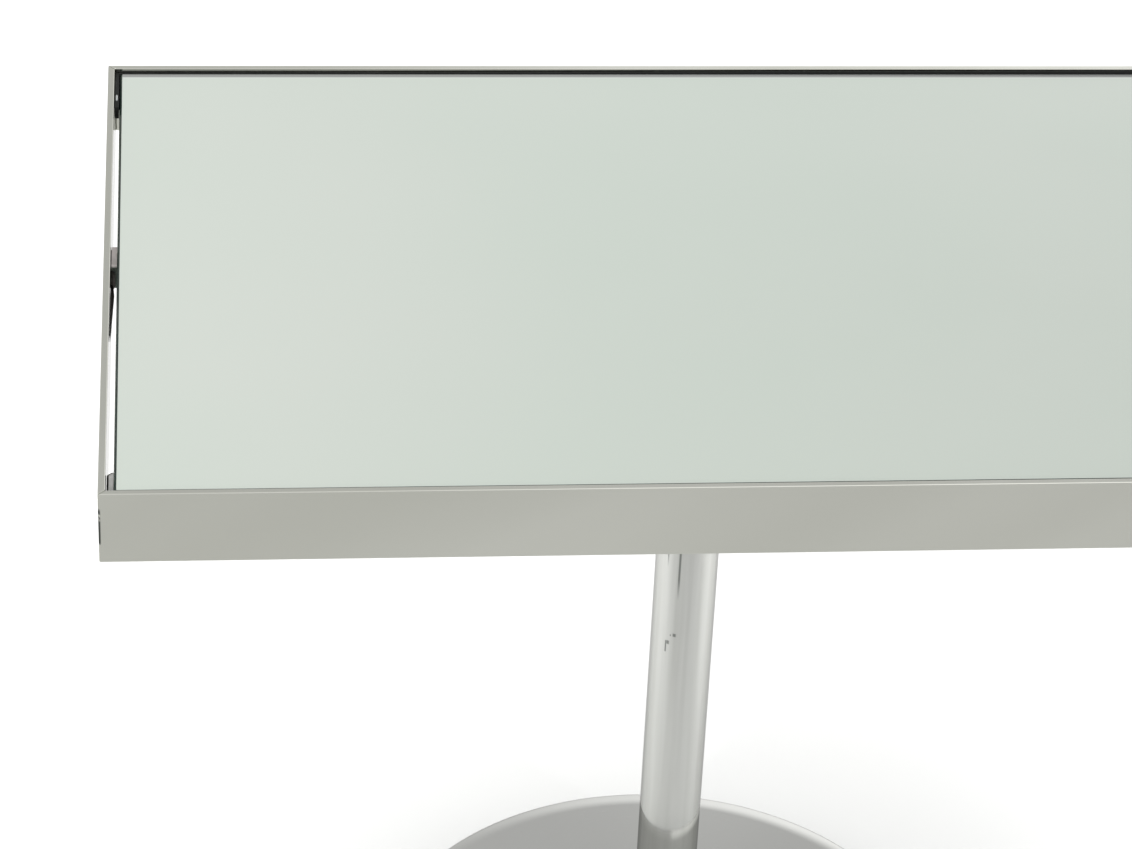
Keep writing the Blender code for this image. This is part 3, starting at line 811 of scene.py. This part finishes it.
def hex_body(flats, low, high, centre):
    """Rings of a hexagon head or nut whose corners are turned off at both ends."""
    steps = 6
    full = hexagon(flats, steps, centre)
    corner = flats / math.sqrt(3)
    limit = flats / 2 * 1.02
    middle = (corner + limit) / 2
    chamfer = (corner - flats / 2) * 0.55

    def trimmed(radius):
        points = []
        for x, y in full:
            offset = Vector((x - centre[0], y - centre[1]))
            reach = min(offset.length, radius)
            offset = offset.normalized() * reach
            points.append((centre[0] + offset.x, centre[1] + offset.y))
        return points

    levels = [
        (trimmed(limit), low),
        (trimmed(middle), low + chamfer * 0.5),
        (full, low + chamfer),
        (full, high - chamfer),
        (trimmed(middle), high - chamfer * 0.5),
        (trimmed(limit), high),
    ]
    return [flat_ring(outline, z) for outline, z in levels]


def make_bolts(material):
    """Flange bolts with threaded tips, and their nuts."""
    for number, centre in bolt_centres().items():
        low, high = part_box(f"flange_bolt_{number}")
        head = low.z + BOLT_HEAD
        rings = hex_body(HEX_FLATS, low.z, head, centre)
        rings += [flat_ring(circle(BOLT_RADIUS, 36, centre), head + 0.0001)]
        nut_low, nut_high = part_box(f"flange_nut_{number}")
        rings += [flat_ring(circle(BOLT_RADIUS, 36, centre), nut_low.z - 0.001)]
        rings += thread_rings(BOLT_RADIUS, BOLT_PITCH, nut_low.z, high.z, 36, centre)
        bm = bmesh.new()
        skin(bm, rings, caps=True)
        bolt = f"flange_bolt_{number}"
        add_piece(f"{bolt}_hex", bm, [material], "frame", "zinc_plate", bolt)
        rings = hex_body(HEX_FLATS, nut_low.z, nut_high.z, centre)
        bore, ease = BOLT_RADIUS + SLACK, 0.0005
        rings += [flat_ring(circle(bore + ease, 36, centre), nut_high.z)]
        rings += [flat_ring(circle(bore, 36, centre), nut_high.z - ease)]
        rings += [flat_ring(circle(bore, 36, centre), nut_low.z)]
        bm = bmesh.new()
        skin(bm, rings, closed=True)
        nut = f"flange_nut_{number}"
        add_piece(f"{nut}_hex", bm, [material], "frame", "zinc_plate", nut)


def make_glides(nylon, zinc):
    """Round-edged nylon pads, and screws with a hexagon and a real thread."""
    for corner in CORNERS:
        low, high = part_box(f"glide_pad_{corner}")
        centre = ((low.x + high.x) / 2, (low.y + high.y) / 2)
        radius, pocket, floor = (high.x - low.x) / 2, 0.0075, 0.0025
        edge = 0.0012
        profile = [(radius - edge, 0.0)]
        profile += arc((radius - edge, edge), edge, -75, 0, 4)
        profile += arc((radius - 0.0018, 0.0030), 0.0018, 10, 62, 5)
        profile += [(pocket + 0.0042, high.z - 0.0006), (pocket + 0.0034, high.z)]
        profile += [(pocket + 0.0006, high.z)]
        profile += [(pocket, high.z - 0.0006), (pocket, floor)]
        bm = bmesh.new()
        rings = [flat_ring(circle(r, 64, centre), z) for r, z in profile]
        skin(bm, rings, caps=True)
        pad = f"glide_pad_{corner}"
        add_piece(f"{pad}_foot", bm, [nylon], f"pad_{corner}", "black_nylon", pad)
        stud = f"glide_stud_{corner}"
        low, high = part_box(stud)
        foot_top, ease = low.z + STUD_FOOT_THICK, 0.0004
        foot = [
            (STUD_FOOT_RADIUS - ease, low.z),
            (STUD_FOOT_RADIUS, low.z + ease),
            (STUD_FOOT_RADIUS, foot_top - ease),
            (STUD_FOOT_RADIUS - ease, foot_top),
            (STUD_NECK_RADIUS, foot_top + 0.0001),
            (STUD_NECK_RADIUS, STUD_HEX_LOW),
        ]
        rings = [flat_ring(circle(r, 36, centre), z) for r, z in foot]
        rings += hex_body(HEX_FLATS, STUD_HEX_LOW, STUD_HEX_HIGH, centre)
        rings += [flat_ring(circle(STUD_NECK_RADIUS + SLACK, 36, centre), STUD_HEX_HIGH + 0.0001)]
        rings += thread_rings(STUD_RADIUS, STUD_PITCH, STUD_HEX_HIGH + 0.0004, high.z, 36, centre)
        bm = bmesh.new()
        skin(bm, rings, caps=True)
        add_piece(f"{stud}_screw", bm, [zinc], f"stud_{corner}", "zinc_plate", stud)


def make_pads(material):
    """Domed silicone bumpers under the glass."""
    names = [f"corner_pad_{corner}" for corner in CORNERS] + ["beam_pad_left", "beam_pad_right"]
    for name in names:
        low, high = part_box(name)
        centre = ((low.x + high.x) / 2, (low.y + high.y) / 2)
        radius, tall = (high.x - low.x) / 2, high.z - low.z
        rings = [flat_ring(circle(radius - 0.0003, 48, centre), low.z)]
        rings += [flat_ring(circle(radius, 48, centre), low.z + 0.0003)]
        dome = arc((0, 0), 1.0, 25, 84, 8)
        for r, z in dome:
            rings.append(flat_ring(circle(radius * r, 48, centre), low.z + tall * (0.35 + 0.65 * z)))
        bm = bmesh.new()
        skin(bm, rings, caps=True)
        add_piece(f"{name}_bumper", bm, [material], "frame", "clear_silicone", name, smooth=50)


def make_gasket(rubber, bright):
    """The rubber strip behind the glass: thinner to the left, with a short return at each end."""
    low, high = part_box("back_gasket")
    wide = GASKET_WIDE
    back = high.y - GASKET_STRIP
    turn = low.y + GASKET_SHORT
    ease = 0.0003
    outline = [
        (low.x, turn), (low.x + wide, turn), (low.x + wide, back), (high.x - wide, back),
        (high.x - wide, turn), (high.x, turn), (high.x, high.y), (low.x, high.y),
    ]

    def height(x, y, inset):
        along = (x - low.x) / (high.x - low.x)
        fall = GASKET_FALL * max(0.0, 1 - along * 1.6) if y >= back - ease else GASKET_FALL * 0.3
        return high.z - fall - inset

    def shrunk(inset):
        signs = [(1, 1), (-1, 1), (-1, 1), (1, 1), (1, 1), (-1, 1), (-1, -1), (1, -1)]
        return [(x + sx * inset, y + sy * inset) for (x, y), (sx, sy) in zip(outline, signs)]

    rings = [
        [(x, y, low.z) for x, y in shrunk(0)],
        [(x, y, height(x, y, ease)) for x, y in shrunk(0)],
        [(x, y, height(x, y, 0)) for x, y in shrunk(ease)],
    ]
    bm = bmesh.new()
    skin(bm, rings, caps=True)
    add_piece("back_gasket_strip", bm, [rubber], "frame", "black_rubber", "back_gasket", smooth=50)
    for side in (-1, 1):
        x = side * (high.x - wide * 0.5)
        bm = bmesh.new()
        start, end = turn + 0.011, turn + 0.020
        weld_bead(bm, (x, start, high.z - 0.0011), (x, end, high.z - 0.0011), 0.0008, 0)
        name = "gasket_pin_left" if side < 0 else "gasket_pin_right"
        add_piece(name, bm, [bright], "frame", "polished_steel", smooth=60)


# ---------------------------------------------------------------- camera and studio


def add_camera():
    data = bpy.data.cameras.new("camera")
    data.sensor_width = 36.0
    data.lens = CAMERA_LENS
    data.shift_x, data.shift_y = CAMERA_SHIFT
    camera = bpy.data.objects.new("camera", data)
    turn = Matrix.Rotation(math.radians(-CAMERA_YAW), 4, "Z")
    tip = Matrix.Rotation(math.radians(90 - CAMERA_PITCH), 4, "X")
    roll = Matrix.Rotation(math.radians(-CAMERA_ROLL), 4, "Z")
    camera.matrix_world = Matrix.Translation(CAMERA_AT) @ turn @ tip @ roll
    bpy.context.scene.collection.objects.link(camera)
    bpy.context.scene.camera = camera


def add_floor():
    bm = bmesh.new()
    half = FLOOR_SIZE / 2
    corners = ((-half, -half), (half, -half), (half, half), (-half, half))
    bm.faces.new([bm.verts.new((x, y, FLOOR_Z)) for x, y in corners])
    mesh = bpy.data.meshes.new("floor")
    bm.to_mesh(mesh)
    bm.free()
    paint = Paint("floor", FLOOR_COLOUR, 0.6)
    paint.colour(paint.mix(paint.noise(1.5, 2.0), FLOOR_COLOUR, [c * 0.985 for c in FLOOR_COLOUR]))
    mesh.materials.append(paint.material)
    floor = bpy.data.objects.new("floor", mesh)
    bpy.context.scene.collection.objects.link(floor)


def add_area(name, at, aim, size, power):
    data = bpy.data.lights.new(name, "AREA")
    data.shape = "RECTANGLE"
    data.size, data.size_y = size
    data.energy = power
    light = bpy.data.objects.new(name, data)
    light.location = at
    direction = Vector(aim) - Vector(at)
    light.rotation_euler = direction.to_track_quat("-Z", "Y").to_euler()
    light.visible_camera = False
    bpy.context.scene.collection.objects.link(light)
    return light


def add_sky():
    """A soft sky: bright overhead, calmer low down, and brighter low at the back right."""
    world = bpy.data.worlds.new("studio")
    world.use_nodes = True
    tree = world.node_tree
    place = tree.nodes.new("ShaderNodeTexCoord").outputs["Generated"]
    parts = tree.nodes.new("ShaderNodeSeparateXYZ")
    tree.links.new(place, parts.inputs[0])

    def span(value, low, high, to_low, to_high):
        made = tree.nodes.new("ShaderNodeMapRange")
        made.interpolation_type = "SMOOTHSTEP"
        for name, number in zip(("From Min", "From Max", "To Min", "To Max"), (low, high, to_low, to_high)):
            made.inputs[name].default_value = number
        tree.links.new(value, made.inputs["Value"])
        return made.outputs["Result"]

    def combine(operation, first, second):
        made = tree.nodes.new("ShaderNodeMath")
        made.operation = operation
        tree.links.new(first, made.inputs[0])
        tree.links.new(second, made.inputs[1])
        return made.outputs[0]

    overhead = span(parts.outputs["Z"], 0.55, 0.80, SKY_MIDDLE, SKY_TOP)
    low_down = span(parts.outputs["Z"], 0.44, 0.54, 1.0, 0.0)
    rightward = span(parts.outputs["X"], -0.08, 0.22, SKY_LOW_LEFT, SKY_LOW_RIGHT)
    strength = combine("ADD", overhead, combine("MULTIPLY", low_down, rightward))
    tree.links.new(strength, tree.nodes["Background"].inputs["Strength"])
    tree.nodes["Background"].inputs["Color"].default_value = (1.0, 1.0, 1.0, 1.0)
    bpy.context.scene.world = world


def add_studio():
    """A softbox over the left side, and panels over the floor that no polished piece reflects."""
    add_sky()
    add_area("softbox", (-1.4, -0.1, 2.2), (-0.3, 0.0, 0.75), (1.0, 1.4), 15)
    for name, centre, size, power in PANELS:
        panel = add_area(name, centre, (*centre[:2], 0.0), size, power)
        panel.visible_glossy = False
    bpy.context.scene.view_settings.view_transform = "Standard"


def main():
    opal, edge = make_opal_glass(), make_glass_edge()
    steel, chrome = make_polished_steel(), make_chrome().material
    mill, dark, zinc = make_mill_steel(), make_dark_steel(), make_zinc()
    bracket_steel = make_bracket_steel()
    iron, silicone = make_black_iron(), make_silicone()
    nylon = make_black_plastic("black_nylon", (0.022, 0.022, 0.023), (0.07, 0.07, 0.07), 0.50, 420.0)
    rubber = make_black_plastic("black_rubber", (0.007, 0.008, 0.007), (0.022, 0.024, 0.022), 0.55, 700.0)
    for bar in ("front_apron", "back_apron", "left_apron", "right_apron"):
        paint_node(bar, steel)
    for name in ("tie_rod", "tie_rod_nut", "tie_rod_washer"):
        paint_node(name, zinc)
    paint_node("base_casting", iron)
    make_gasket(rubber, zinc)
    make_glass_top(opal, edge)
    make_section("centre_beam", "x", make_beam_steel())
    make_section("front_rail", "y", mill)
    make_section("back_rail", "y", mill)
    for corner in CORNERS:
        make_bracket(corner, bracket_steel, dark)
    make_welds(dark)
    make_plate(mill)
    make_flange(chrome)
    make_bolts(zinc)
    make_column(make_column_chrome())
    make_cover(chrome)
    make_collar(chrome)
    make_glides(nylon, zinc)
    make_pads(silicone)
    add_camera()
    add_floor()
    add_studio()


main()
